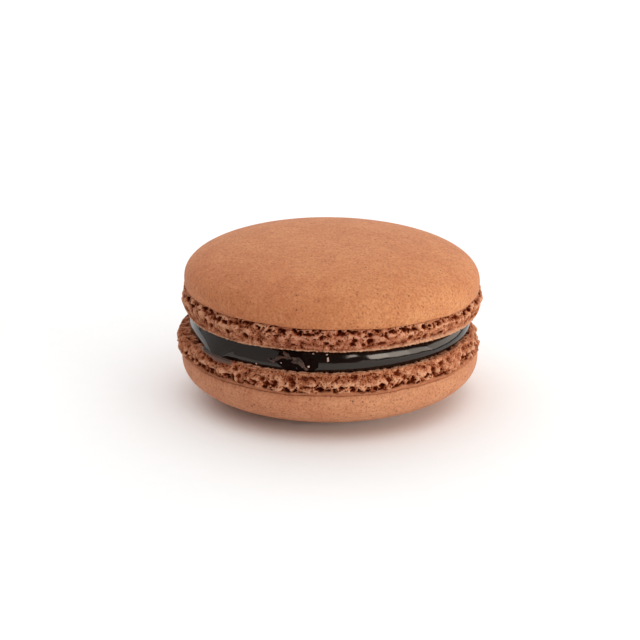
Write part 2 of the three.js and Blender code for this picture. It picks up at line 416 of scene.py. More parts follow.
def bumps(points, size, seed):
    """Smooth noise from -1 to 1: random values at the corners of a grid, blended with the cubic
    3t^2 - 2t^3 along each axis."""
    cell, scaled = cells_of(points, size)
    part = scaled - cell
    ease = part * part * (3 - 2 * part)
    total = 0.0
    for corner in np.ndindex(2, 2, 2):
        sides = [ease[..., a] if corner[a] else 1 - ease[..., a] for a in range(3)]
        value = cell_hash(*(cell[..., a] + corner[a] for a in range(3)), seed)
        total = total + sides[0] * sides[1] * sides[2] * value
    return 2 * total - 1


def nearest_ball(points, spacing, radius, seed):
    """How deep a point lies in the nearest of the balls scattered one to a cell: 1 less its
    distance from the centre over the ball's own radius, at least 0."""
    cell, _ = cells_of(points, spacing)
    deepest = np.zeros(points.shape[:-1])
    for step in np.ndindex(3, 3, 3):
        index = [cell[..., a] + step[a] - 1 for a in range(3)]
        squared = 0.0
        for a in range(3):
            centre = (index[a] + cell_hash(*index, seed + 1 + a)) * spacing
            squared = squared + (points[..., a] - centre) ** 2
        size = cell_hash(*index, seed + 4)
        reach = radius * (SMALLEST_CAVITY + (1 - SMALLEST_CAVITY) * size)
        deepest = np.maximum(deepest, 1 - np.sqrt(squared) / reach)
    return deepest


def smooth(low, high, x):
    """A step from 0 at low to 1 at high, by the cubic 3t^2 - 2t^3."""
    t = np.clip((x - low) / (high - low), 0, 1)
    return t * t * (3 - 2 * t)


def cavities(points, spacing, radius, seed):
    """Cavities with steep walls and flat floors: the depth in the nearest ball, stepped."""
    return smooth(0, CAVITY_WALL, nearest_ball(points, spacing, radius, seed))


def lumps(points, size, seed):
    """Rounded lumps with creases between them, about 0: the size of smooth noise, less its mean."""
    return np.abs(bumps(points, size, seed)) - LUMP_MEAN


def drift(angle, seed, waves):
    """A slow wave round the shell: sines of the given counts, each weaker than the last."""
    total = 0.0
    for i, count in enumerate(waves):
        total = total + np.sin(count * angle + seed * (i + WAVE_PHASE)) / (i + 1)
    return total / WAVE_SCALE


def ripple(wave, x):
    """A sine wave with its own height, count and phase."""
    return wave["height"] * np.sin(wave["count"] * x + wave["phase"])


def around(radius, angle, height):
    """Points at a radius, angle and height."""
    return np.stack(np.broadcast_arrays(radius * np.cos(angle), radius * np.sin(angle), height), -1)


def bell(x, middle, width):
    """A bell curve: 1 at its middle, and 1/e a width away."""
    return np.exp(-(((x - middle) / width) ** 2))


def foot_outline(shell, u):
    """The foot's plain radius from its baked edge (u = 0) to the skin (u = 1): a straight line
    with half a sine wave on it, skewed towards the skin."""
    baked = shell["radius"] - shell["baked_inset"]
    under_skin = shell["radius"] - SKIN_EDGE_INSET
    return baked + (under_skin - baked) * u + FOOT_FULLNESS * np.sin(np.pi * u**FOOT_SKEW)


def rise(shell, radius, angle):
    """How much higher the sloping skin is at a point than on the shell's axis."""
    return shell["lean"] * radius * np.cos(angle - LEAN_ANGLE)


def skin_edge(shell, angle):
    """Height of the wavy edge where the skin meets the foot."""
    wave = SKIN_WAVE * drift(angle, shell["seed"], SKIN_WAVES)
    return shell["foot"] + rise(shell, shell["radius"], angle) + wave


def shell_drift(shell, angle):
    """How far the whole outline wanders from a circle."""
    return OUTLINE_DRIFT * drift(angle, shell["seed"] + OWN_SEED["outline"], OUTLINE_WAVES)


def foot_spread(shell, angle, u):
    """How far the foot spreads at the left and draws in at the right: a bell curve over the angle
    for each, widest at the baked edge."""
    left = bell(angle, SPREAD_ANGLE, SPREAD_WIDTH)
    right = bell((angle + np.pi) % TURN - np.pi, 0, PINCH_WIDTH)
    return (shell["spread"] * left - shell["pinch"] * right) * (1 - u)


def edge_hang(shell, angle):
    """How far the baked edge hangs past the flat face: a bell curve over the angle, and waves."""
    hang = shell["droop"] * bell(angle, shell["droop_angle"], shell["droop_width"])
    return hang + EDGE_WAVE * drift(angle, shell["seed"] + OWN_SEED["hang"], EDGE_WAVES)


def large_relief(shell, points, u):
    """The solid's own relief: crags, which are noise of two sizes, less the cavities. Both fade at
    the baked edge and under the skin."""
    seed = shell["seed"]
    fine_crags = bumps(points, CRAG_SIZE / 2, seed + OWN_SEED["fine_crags"])
    crags = bumps(points, CRAG_SIZE, seed) + FINE_CRAG_SHARE * fine_crags
    crag_share = smooth(*CRAG_START, u) * (1 - CRAG_LOSS * smooth(*CRAG_END, u))
    sunk = cavities(points, CAVITY_SPACING, CAVITY_RADIUS, seed)
    cavity_share = CAVITY_SHOWN * smooth(*CAVITY_START, u) * (1 - smooth(*CAVITY_END, u))
    return CRAG_DEPTH * crag_share * crags - CAVITY_DEPTH * cavity_share * sunk


def fine_relief(shell, points, u, border, patch):
    """The broken crust's own relief: the sum of the lumps, less the groove, the caves in it, the
    pores and the pits. All are set in places pushed about by noise, which makes them ragged."""
    seed = shell["seed"]
    push = [bumps(points, WARP_SIZE, seed + OWN_SEED["warp"] + a) for a in range(3)]
    ragged = points + WARP * np.stack(push, -1)
    coarse_start, coarse_full = (border - depth for depth in COARSE_DEPTHS)
    coarse = smooth(coarse_start, coarse_full, u + COARSE_WANDER * patch)
    height = 0.0
    for i, lump in enumerate(LUMPS):
        one_size = lump["height"] * lumps(ragged, lump["size"], seed + OWN_SEED["lumps"] + i)
        height = height + (lump["low"] + lump["coarse"] * coarse) * one_size

    groove_start, groove_full = (border - depth for depth in GROOVE_DEPTHS)
    under = smooth(groove_start, groove_full, u)
    breaks = bumps(ragged, GROOVE_BREAK_SIZE, seed + OWN_SEED["groove"])
    groove = under * smooth(*GROOVE_BREAKS, breaks)
    flat = ragged * CAVE_FLATNESS
    caves = under * cavities(flat, CAVE_SPACING, CAVE_RADIUS, seed + OWN_SEED["caves"])
    pores = cavities(ragged, PORE_SPACING, PORE_RADIUS, seed + OWN_SEED["pores"])
    pores = (LOW_PORES + (1 - LOW_PORES) * coarse) * pores
    pits = cavities(ragged, PIT_SPACING, PIT_RADIUS, seed + OWN_SEED["pits"])
    height = height - GROOVE_DEPTH * groove - CAVE_DEPTH * caves
    return height - PORE_DEPTH * pores - PIT_DEPTH * pits


def foot_relief(shell, points, u):
    """The foot's relief, as a height over its plain outline, and how rough each place is. The fine
    relief fades at the baked edge and at the border of the smooth band under the skin, which
    wanders by noise of two sizes. What stands out is limited by a hyperbolic tangent."""
    patch = bumps(points, PATCH_SIZE, shell["seed"] + OWN_SEED["patch"])
    jag = bumps(points, JAG_SIZE, shell["seed"] + OWN_SEED["jag"])
    border = shell["band"] + BORDER_WANDER * patch + BORDER_WANDER * jag
    rough = smooth(*ROUGH_START, u) * (1 - smooth(border, border + BORDER_FADE, u))
    fine = fine_relief(shell, points, u, border, patch)
    relief = large_relief(shell, points, u) + rough * (fine - FINE_SUNK)
    limited = RELIEF_LIMIT * np.tanh(relief / RELIEF_LIMIT)
    return np.where(relief > 0, limited, relief), rough


def blur(values, rows, columns):
    """The mean over a window of rows and columns, which wraps round the shell and stops at the
    first and last row."""
    wide = sum(np.roll(values, k, axis=1) for k in range(-columns, columns + 1)) / (2 * columns + 1)
    padded = np.pad(wide, ((rows, rows), (0, 0)), mode="edge")
    count = len(values)
    return sum(padded[k : k + count] for k in range(2 * rows + 1)) / (2 * rows + 1)


def rows_of(columns, radius, height, stand=0.0, rough=0.0, pale=0.0):
    """Some rows of a foot in one array: their radius and height, how far each point stands over its
    surroundings, how rough it is there, and how much painted highlight of the baked edge it takes."""
    values = np.broadcast_arrays(radius, height, stand, rough, pale, 0 * columns)
    return np.stack(values[:-1])


def face_rows(columns, start, hang):
    """The flat baked face, from near its middle out to the start of its round edge. Lumps stand up
    from it in a ring near the edge, where it also starts to hang."""
    share = FACE_SHARES[:, None]
    radius = start * share
    points = around(radius, columns, 0.0)
    ring = smooth(*RING_START, share)
    height = FACE_RAISED
    for lump in FACE_LUMPS:
        height = height + lump["height"] * lumps(points, lump["size"], lump["seed"])
    height = ring * np.maximum(height, 0) - hang * smooth(*HANG_START, share)
    stand = ring * (FACE_STAND - FACE_STAND_LOSS * np.maximum(height, 0))
    return rows_of(columns, radius, height, stand, ring)


def edge_rows(shell, columns, start, hang):
    """The round baked edge: part of a circle, whose radius the relief changes."""
    turn = EDGE_TURNS[:, None]
    baked = shell["radius"] - shell["baked_inset"]
    points = around(baked + EDGE_ROUND * np.cos(turn), columns, EDGE_ROUND * np.sin(turn))
    relief, rough = foot_relief(shell, points, LOW_EDGE)
    round_by = EDGE_ROUND + relief
    radius = start + round_by * np.cos(turn)
    height = EDGE_ROUND + round_by * np.sin(turn) - hang
    stand = rough * (relief + FINE_SUNK)
    return rows_of(columns, radius, height, stand, rough, shell["edge_highlight"])


def side_rows(shell, columns, edge, wander, hang):
    """The foot's side, from its baked edge up to the skin: the plain outline with the relief on it,
    which is levelled under the film, less a bell curve over the height at the crease."""
    u = np.linspace(LOW_EDGE, 1, FOOT_ROWS)[:, None]
    plain = foot_outline(shell, u)
    height = u * edge - hang * (1 - u) ** 2
    relief, rough = foot_relief(shell, around(plain, columns, height), u)
    film_length = FILM_ON_FACE + u * (1 - FILM_ON_FACE) / FILM_REACH
    under_film = shell["filmed"] * film_cover(TURN - columns, film_length)
    relief = relief * (1 - FILM_LEVELS * under_film)
    relief = relief - CREASE_DEPTH * bell(height, edge, CREASE_WIDTH)
    radius = plain + wander + foot_spread(shell, columns, u) + relief
    stand = rough * (relief - blur(relief, STAND_ROWS, STAND_COLUMNS))
    # The painted highlight along the baked edge
    pale_height = PALE_HEIGHT + PALE_MORE * bell(columns, PALE_ANGLE, PALE_WIDTH)
    pale = shell["edge_highlight"] * smooth(pale_height, PALE_FULL, u)
    return rows_of(columns, radius, height, stand, rough, pale)


def foot_rows(shell, angle):
    """A foot's rows of points, from near the middle of the baked face out, round its edge and up to
    the skin, then in under the skin. Gives the points, how far each stands over its surroundings,
    how rough it is there, and how much painted highlight of the baked edge it takes."""
    columns = angle[None, :]
    edge = skin_edge(shell, columns)
    wander = shell_drift(shell, columns)
    hang = edge_hang(shell, columns)
    baked = shell["radius"] - shell["baked_inset"]
    start = baked - EDGE_ROUND + wander + foot_spread(shell, columns, 0)
    inward = FOOT_INWARD[:, None]
    under_skin = shell["radius"] - SKIN_EDGE_INSET - inward + wander
    rows = np.concatenate([
        face_rows(columns, start, hang),
        edge_rows(shell, columns, start, hang),
        side_rows(shell, columns, edge, wander, hang),
        rows_of(columns, under_skin, edge + FOOT_CLIMB * inward),
    ], axis=1)
    radius, height, stand, rough, pale = rows
    return around(radius, columns, height), stand, rough, pale


def skin_rows(shell, angle):
    """A skin's rows of points, from inside the shell out to its rim, round that, up the lip (a
    parabola) and over the crown (a superellipse)."""
    columns = angle[None, :]
    edge = skin_edge(shell, columns)
    wander = shell_drift(shell, columns)
    rim_r = shell["radius"] - SKIN_EDGE_INSET

    inner_r = rim_r - SKIN_INWARD + wander
    inner_z = edge + SKIN_RAISED
    turn = RIM_TURNS[:, None]
    round_r = rim_r - RIM_ROUND + RIM_ROUND * np.cos(turn) + wander
    round_z = edge + RIM_ROUND + RIM_ROUND * np.sin(turn)

    w = 1 - np.arange(1, LIP_ROWS + 1)[:, None] / LIP_ROWS
    lip_r = shell["radius"] - SKIN_EDGE_INSET * w * w
    widest = shell["foot"] + shell["lip"]
    low = edge + RIM_ROUND
    lip_z = low * w + (widest + rise(shell, lip_r, columns)) * (1 - w)
    lip_r = lip_r + wander

    up = (np.pi / 2) * (np.arange(1, CROWN_ROWS)[:, None] / CROWN_ROWS) ** CROWN_EASE
    power = 2 / shell["squareness"]
    share = np.cos(up) ** power
    crown_z = widest + shell["crown"] * np.sin(up) ** power
    crown_z = crown_z + rise(shell, shell["radius"] * share, columns)
    crown_r = shell["radius"] * share + share * wander

    radius = np.vstack([inner_r, round_r, lip_r, crown_r])
    height = np.vstack([inner_z, round_z, lip_z, crown_z])
    return around(radius, columns, height)


def closed_grid(rows, bottom, top):
    """Points and faces of a closed surface: a grid that wraps round, with a fan to a point below
    its first row and a fan to a point above its last one."""
    count, columns = rows.shape[:2]
    points = np.vstack([rows.reshape(-1, 3), bottom, top])
    k, i = np.meshgrid(np.arange(count - 1), np.arange(columns), indexing="ij")
    here, above = k * columns, (k + 1) * columns
    j = (i + 1) % columns
    quads = np.stack([here + i, here + j, above + j, above + i], -1)
    i = np.arange(columns)
    j = (i + 1) % columns
    low = np.full(columns, count * columns)
    last = (count - 1) * columns
    fans = np.vstack([np.stack([low, j, i], -1), np.stack([last + i, last + j, low + 1], -1)])
    return points, quads.reshape(-1, 4), fans


def make_piece(name, points, quads, triangles, **attributes):
    """A smooth mesh object at the origin from arrays in millimetres, with a number at each point
    for each named attribute."""
    mesh = bpy.data.meshes.new(name)
    mesh.vertices.add(len(points))
    mesh.vertices.foreach_set("co", (points * MM).astype(np.float32).ravel())
    corners = np.concatenate([quads.ravel(), triangles.ravel()]).astype(np.int32)
    sizes = np.concatenate([np.full(len(quads), 4), np.full(len(triangles), 3)])
    starts = np.cumsum(sizes) - sizes
    mesh.loops.add(len(corners))
    mesh.loops.foreach_set("vertex_index", corners)
    mesh.polygons.add(len(sizes))
    mesh.polygons.foreach_set("loop_start", starts.astype(np.int32))
    mesh.update(calc_edges=True)
    mesh.shade_smooth()
    for key, values in attributes.items():
        layer = mesh.attributes.new(key, "FLOAT", "POINT")
        layer.data.foreach_set("value", values.astype(np.float32).ravel())
    piece = bpy.data.objects.new(name, mesh)
    bpy.context.scene.collection.objects.link(piece)
    return piece


def rest_axis():
    """Where the lower shell's axis meets the surface it rests on: the middle of the flat spot of
    the CAD node."""
    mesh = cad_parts["lower_shell"].data
    points = np.empty(len(mesh.vertices) * 3, np.float32)
    mesh.vertices.foreach_get("co", points)
    points = points.reshape(-1, 3) / MM
    spot = points[points[:, 2] < LEVEL]
    return (spot.min(axis=0) + spot.max(axis=0)) / 2


AXIS = rest_axis()
LOWER_FACE = LOWER["crown"] + LOWER["lip"] + LOWER["foot"]
UPPER_AT = np.array([AXIS[0] + UPPER_SHIFT, AXIS[1], LOWER_FACE + FILLING_THICKNESS])
PITCHED = Euler((UPPER_PITCH, 0, 0)).to_matrix()
ROLLED = Euler((0, UPPER_ROLL, 0)).to_matrix()
UPPER_TURN = np.array(PITCHED @ ROLLED)


def place_lower(points):
    """Turns the lower shell over, so that it lies on its crown."""
    return points * (1, -1, -1) + (AXIS[0], AXIS[1], LOWER_FACE)


def place_upper(points):
    """Tilts the upper shell and sets it on the filling."""
    return points @ UPPER_TURN.T + UPPER_AT


def upper_face_height(x, y):
    """Height of the upper shell's flat baked face over a point."""
    normal = UPPER_TURN[:, 2]
    return UPPER_AT[2] - (normal[0] * (x - UPPER_AT[0]) + normal[1] * (y - UPPER_AT[1])) / normal[2]


def dress(piece, node):
    """Lets a piece ride the one body and stand in for a CAD node, which it hides."""
    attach(piece, "root")
    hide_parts(node)
    return piece


def make_foot(shell, place):
    """One shell's rough foot and flat baked face, closed inside the skin."""
    rows, *values = foot_rows(shell, np.arange(FOOT_COLUMNS) / FOOT_COLUMNS * TURN)
    points, quads, fans = closed_grid(rows, (0, 0, 0), (0, 0, shell["foot"] + CLOSED_INSIDE))
    stand, rough, pale = (np.append(each.ravel(), (0, 0)) for each in values)
    name = shell["name"] + "_foot"
    piece = make_piece(name, place(points), quads, fans, stand=stand, rough=rough, pale=pale)
    return dress(piece, shell["name"] + "_shell")


def make_skin(shell, place):
    """One shell's smooth domed skin, closed underneath, inside the foot."""
    rows = skin_rows(shell, np.arange(SKIN_COLUMNS) / SKIN_COLUMNS * TURN)
    crown = shell["foot"] + shell["lip"] + shell["crown"]
    bottom = (0, 0, shell["foot"] - CLOSED_INSIDE)
    points, quads, fans = closed_grid(rows, bottom, (0, 0, crown))
    piece = make_piece(shell["name"] + "_skin", place(points), quads, fans)
    return dress(piece, shell["name"] + "_shell")


def film_cover(angle, length):
    """How far the film covers a place, from 0 to 1: a lobe that narrows and turns towards the front
    as it runs down, with sides and a lower end that waver in sines."""
    middle = FILM_ANGLE + FILM_TURNS * smooth(0, FILM_TURNED, length)
    half = FILM_HALF_WIDTH - FILM_NARROWS * smooth(0, 1, length)
    off = np.abs(angle - middle) / half + ripple(FILM_SWAY, length) + ripple(FILM_WAVER, angle)
    end = length + ripple(FILM_END_WAVER, angle)
    return (1 - smooth(*FILM_SIDE_FADE, off)) * (1 - smooth(*FILM_END_FADE, end))


def film_rows(angle):
    """The film's rows, from its lower end up the foot, round the baked edge and in over the flat
    face to the filling. It follows the lower shell at a thickness that turns negative, and hides
    it inside the shell, away from where it covers. Gives the points and how thin the film is."""
    columns = angle[None, :]
    own = (TURN - columns) % TURN
    length = np.linspace(1, 0, FILM_ROWS)[:, None]
    u = FILM_REACH * np.maximum(length - FILM_ON_FACE, 0) / (1 - FILM_ON_FACE)
    inward = 1 - np.minimum(length / FILM_ON_FACE, 1)
    turn = (np.pi / 2) * smooth(*FILM_BEND, length)
    grown = FILM_HIDDEN + FILM_THICKNESS * (FILM_GROWTH - length)
    thickness = -FILM_HIDDEN + grown * film_cover(columns, length)
    edge = foot_outline(LOWER, u) + foot_spread(LOWER, own, u) + shell_drift(LOWER, own)
    base = edge + (FILLING_RADIUS - FILM_UNDER_FILLING - edge) * inward
    radius = base + thickness * np.cos(turn)
    height = LOWER_FACE - u * LOWER["foot"] + thickness * np.sin(turn)
    low = FILM_LOW_THINNESS * smooth(*FILM_LOW, length)
    return around(radius, columns, height), np.maximum(smooth(*FILM_THIN, thickness), low)


def wall(angle, v):
    """Points of the filling's side, v = 0 at the lower shell's face and 1 at the upper one's. The
    radius is a straight line, which leans in, with a parabola on it. Bell curves over the angle
    change its reach, its lean and the parabola, and add the lobe and the fold, both low down. It
    draws in towards each shell by an exponential, and slow sines make it uneven."""
    reach, taper, bulge = 0.0, FILLING_TAPER, 1.0
    for place in SIDE_PLACES:
        near = bell(angle, place["angle"], place["width"])
        reach = reach + place["reach"] * near
        taper = taper + place["lean"] * near
        bulge = bulge + place["bulge"] * near
    lobe = bell(angle, LOBE_ANGLE, LOBE_WIDTH)
    fold = bell(angle - FOLD_RUN * v, FOLD_ANGLE, FOLD_WIDTH)
    shaded = smooth(*TOP_START, angle) * (1 - smooth(*TOP_END, angle))
    uneven = 0.0
    for wave in SIDE_WAVES:
        turned = angle + wave["turn"] * v
        uneven = uneven + wave["height"] * drift(turned, wave["seed"], wave["counts"])

    radius = FILLING_RADIUS + reach - taper * v + 4 * FILLING_BULGE * bulge * v * (1 - v)
    radius = radius + LOBE_REACH * lobe * (1 - v) ** 2 + FOLD_HEIGHT * fold * (1 - v**2)
    radius = radius - FILLING_UNDERCUT * (1 - lobe) * np.exp(-v / UNDERCUT_SHARE)
    radius = radius - TOP_UNDERCUT * shaded * np.exp(-(1 - v) / TOP_SHARE)
    radius = radius + uneven * np.sin(np.pi * v)
    rim = around(FILLING_RADIUS - FILLING_TAPER, angle, 0.0) + (FILLING_SHIFT, 0, 0)
    low = LOWER_FACE - FILLING_SUNK
    high = upper_face_height(rim[..., 0], rim[..., 1]) + FILLING_SUNK
    return around(radius, angle, low + (high - low) * v) + (FILLING_SHIFT, 0, 0)


def make_filling():
    """The filling, closed: the film's rows, then those of its side up to the upper shell."""
    angle = np.arange(FILLING_COLUMNS) / FILLING_COLUMNS * TURN
    side = wall(angle[None, :], np.linspace(0, 1, FILLING_ROWS)[:, None])
    film, thin = film_rows(angle)
    film = film + (AXIS[0], AXIS[1], 0)
    bottom = (FILLING_SHIFT, 0, LOWER_FACE - FILM_HIDDEN)
    top = (FILLING_SHIFT, 0, upper_face_height(0, 0) + FILLING_SUNK)
    points, quads, fans = closed_grid(np.concatenate([film, side]), bottom, top)
    thin = np.append(thin.ravel(), np.zeros(len(points) - thin.size))
    return dress(make_piece("filling_gloss", points, quads, fans, thin=thin), "filling")


def shred(start, end, width, lift, seed):
    """A torn shred of baked crust that lies on the filling's side between two places, each an angle
    and a v: a flattened tube whose lift and width waver by noise, and which thins to its ends."""
    along = np.linspace(0, 1, SHRED_ROWS)[:, None]
    turn = (np.arange(SHRED_COLUMNS) / SHRED_COLUMNS * TURN)[None, :]
    path = np.concatenate([along, 0 * along, 0 * along + seed], axis=1)[:, None, :]
    sway = bumps(path * SHRED_SWAYS, 1.0, seed)
    uneven = bumps(path * SHRED_WIDTHS, 1.0, seed + 1)
    taper = np.sin(np.pi * (SHRED_BLUNT + (1 - 2 * SHRED_BLUNT) * along)) ** 0.5
    half = 0.5 * width * taper * (1 + SHRED_UNEVEN * uneven)
    across = half * np.cos(turn) + SHRED_SWAY * sway

    angle_run, v_run = np.radians(end[0] - start[0]), end[1] - start[1]
    slope = np.array([angle_run * SIDE_RADIUS, v_run * SIDE_HEIGHT])
    side = np.array([-slope[1], slope[0]]) / np.linalg.norm(slope)
    angle = np.radians(start[0]) + angle_run * along + across * side[0] / SIDE_RADIUS
    v = start[1] + v_run * along + across * side[1] / SIDE_HEIGHT
    base = wall(angle, np.clip(v, *SHRED_LIMITS))

    coarse, fine = (bumps(base, size, seed + 2 + i) for i, size in enumerate(SHRED_GRAINS))
    height = lift * taper * (1 - SHRED_UNEVEN + SHRED_UNEVEN * sway)
    height = height + SHRED_ROUGHNESS * (coarse + 0.5 * fine) * taper
    height = height + SHRED_HALF_THICKNESS * np.sin(turn)
    rows = base + around(1.0, angle, SHRED_OUTWARD) * height[..., None]
    return closed_grid(rows, rows[0].mean(axis=0), rows[-1].mean(axis=0))


def crumb(place, radius, stretch, seed):
    """One crumb on the filling's side: a ball, made uneven by noise and sunk into the filling."""
    turn = (np.arange(CRUMB_COLUMNS) / CRUMB_COLUMNS * TURN)[None, :]
    up = np.radians(np.linspace(-CRUMB_CAP, CRUMB_CAP, CRUMB_ROWS))[:, None]
    ball = around(np.cos(up), turn, np.sin(up))
    size = radius * (1 + CRUMB_UNEVEN * bumps(ball * CRUMB_BUMPS, 1.0, seed))
    angle = np.radians(place[0])
    out = around(1.0, angle, CRUMB_OUTWARD)
    centre = wall(angle, np.array(place[1])) + out * radius * CRUMB_OUT
    pole = radius * stretch * np.array([0, 0, 1])
    return closed_grid(centre + ball * size[..., None] * (1, 1, stretch), centre - pole, centre + pole)


def join(parts):
    """Several closed grids as one set of points and faces."""
    points, quads, fans = [], [], []
    count = 0
    for part in parts:
        points.append(part[0])
        quads.append(part[1] + count)
        fans.append(part[2] + count)
        count += len(part[0])
    return np.concatenate(points), np.concatenate(quads), np.concatenate(fans)


def make_shreds():
    """The torn brown crust that clings to the filling at the front."""
    parts = [shred(**each) for each in SHREDS]
    return dress(make_piece("crust_shreds", *join(parts)), "filling")


def make_shade_patch():
    """A near-black patch of painted shade below the shreds: a flat patch on the filling's side with a
    wavering border."""
    return dress(make_piece("painted_shade_patch", *shred(**SHADE_PATCH)), "filling")


def make_crumbs():
    """The few pale crumbs on the filling's side."""
    parts = [crumb(**each) for each in CRUMBS]
    return dress(make_piece("crust_crumbs", *join(parts)), "filling")


class Link:
    """A node's output. Arithmetic on it, also with plain numbers, adds Math nodes."""

    def __init__(self, finish, socket):
        self.finish = finish
        self.socket = socket

    def math(self, operation, first, second):
        return self.finish.node("Math", {"operation": operation}, {0: first, 1: second})

    def __add__(self, other):
        return self.math("ADD", self, other)

    def __radd__(self, other):
        return self.math("ADD", other, self)

    def __sub__(self, other):
        return self.math("SUBTRACT", self, other)

    def __rsub__(self, other):
        return self.math("SUBTRACT", other, self)

    def __mul__(self, other):
        return self.math("MULTIPLY", self, other)

    def __rmul__(self, other):
        return self.math("MULTIPLY", other, self)

    def __gt__(self, other):
        return self.math("GREATER_THAN", self, other)

    def __lt__(self, other):
        return self.math("LESS_THAN", self, other)


class Finish:
    """One material and the nodes that make it."""

    def __init__(self, name, **constants):
        self.material = bpy.data.materials.new(name)
        self.material.use_nodes = True
        self.tree = self.material.node_tree
        self.shader = self.tree.nodes["Principled BSDF"]
        for socket, value in constants.items():
            self.shader.inputs[socket.replace("_", " ")].default_value = value

    def node(self, kind, settings, inputs, output=0):
        """Adds a node: its settings first, then the values or links of its sockets. Gives the
        output asked for."""
        made = self.tree.nodes.new("ShaderNode" + kind)
        for key, value in settings.items():
            if key == "stops":
                self.set_stops(made.color_ramp, value)
            else:
                setattr(made, key, value)
        for key, value in inputs.items():
            self.feed(made.inputs[key], value)
        return Link(self, made.outputs[output])

    def set_stops(self, ramp, stops):
        """Gives a colour ramp its stops, each a position and a colour."""
        while len(ramp.elements) < len(stops):
            ramp.elements.new(0.5)
        for element, (position, colour) in zip(ramp.elements, stops):
            element.position = position
            element.color = colour

    def feed(self, socket, value):
        if isinstance(value, Link):
            self.tree.links.new(value.socket, socket)
        else:
            socket.default_value = value

    def output(self, socket, value):
        """Links a value to one of the shader's own sockets."""
        self.feed(self.shader.inputs[socket], value)

    def mix(self, factor, first, second, blend="MIX"):
        """A colour between two, by a factor."""
        settings = {"data_type": "RGBA", "blend_type": blend}
        return self.node("Mix", settings, {0: factor, 6: first, 7: second}, output=2)

    def millimetres(self):
        """Object coordinates, in millimetres."""
        place = self.node("TexCoord", {}, {}, output="Object")
        return self.node("VectorMath", {"operation": "SCALE"}, {0: place, "Scale": 1 / MM})

    def noise(self, place, size, detail=2.0, roughness=0.5):
        """Noise about 0.5, whose blotches are about size millimetres."""
        inputs = {"Vector": place, "Scale": 1 / size, "Detail": detail, "Roughness": roughness}
        return self.node("TexNoise", {}, inputs)

    def ramp(self, factor, stops):
        return self.node("ValToRGB", {"stops": stops}, {0: factor})

    def step(self, value, low, high):
        """0 below low, 1 above high and smooth between."""
        settings = {"interpolation_type": "SMOOTHSTEP"}
        inputs = {"Value": value, "From Min": low, "From Max": high}
        return self.node("MapRange", settings, inputs)

    def towards(self, place, direction, start, full):
        """How far a place lies in a direction: 0 up to start, 1 past full and smooth between."""
        settings = {"operation": "DOT_PRODUCT"}
        far = self.node("VectorMath", settings, {0: place, 1: direction}, output="Value")
        return self.step(far, start, full)

    def attribute(self, name):
        return self.node("Attribute", {"attribute_name": name}, {}, output="Fac")

    def bump(self, height):
        """The normal bent by a height in millimetres."""
        return self.node("Bump", {}, {"Strength": 1.0, "Distance": MM, "Height": height})


def speckles(finish, place, spacing, radius, share):
    """Small round specks, one to a cell of a Voronoi pattern in a share of the cells: 1 in the
    middle of a speck and 0 outside it."""
    inputs = {"Vector": place, "Scale": 1 / spacing}
    distance = finish.node("TexVoronoi", {}, inputs, output="Distance")
    chance = finish.node("TexVoronoi", {}, inputs, output="Color")
    chosen = finish.node("SeparateColor", {}, {0: chance}, output="Red") < share
    return chosen * finish.step(distance, radius / spacing, SPECK_CORE * radius / spacing)


def skin_finish(shell):
    """Baked cocoa meringue skin: matte, fine-grained and faintly mottled, with small specks of
    cocoa, a few stains and few pinholes, dark with painted shade. It has painted shade at the front
    left, and painted light by a factor at the front right."""
    finish = Finish(shell["name"] + " skin", Roughness=0.78)
    place = finish.millimetres()
    mottle = finish.noise(place, MOTTLE_SIZE, detail=3.0)
    cloud = finish.noise(place, CLOUD_SIZE, detail=3.0, roughness=0.6)
    grain = finish.noise(place, GRAIN_SIZE, detail=3.0, roughness=0.75)
    specks = speckles(finish, place, **SPECKS)
    holes = speckles(finish, place, **PINHOLES)
    # Painted shade at the front left
    side_shade = SIDE_SHADE_SHARE * finish.towards(place, **SHADED_SIDE)

    baked = finish.step(0.5 * mottle + 0.5 * cloud, *BAKED_LEVELS)
    skin = finish.mix(baked, shell["deep"], shell["pale"])
    skin = finish.mix(side_shade, skin, SIDE_SHADE, "MULTIPLY")
    # Painted light at the front right
    skin = finish.mix(finish.towards(place, **LIT_SIDE), skin, shell["side_light"], "MULTIPLY")
    layers = (
        (0.3 * speckles(finish, place, **STAINS), STAIN),
        (0.45 * finish.step(grain, *GRAIN_LEVELS), COCOA),
        (0.5 * speckles(finish, place, **DUST), COCOA),
        (0.6 * specks, COCOA),
        (0.4 * speckles(finish, place, **FLECKS), FLECK),
        # the pinholes' dark is painted shade
        (0.85 * holes, PINHOLE_SHADE),
    )
    for share, colour in layers:
        skin = finish.mix(share, skin, colour)
    finish.output("Base Color", skin)
    relief = 0.05 * grain + 0.06 * cloud - 0.03 * specks - 0.12 * holes
    finish.output("Normal", finish.bump(relief))
    return finish.material


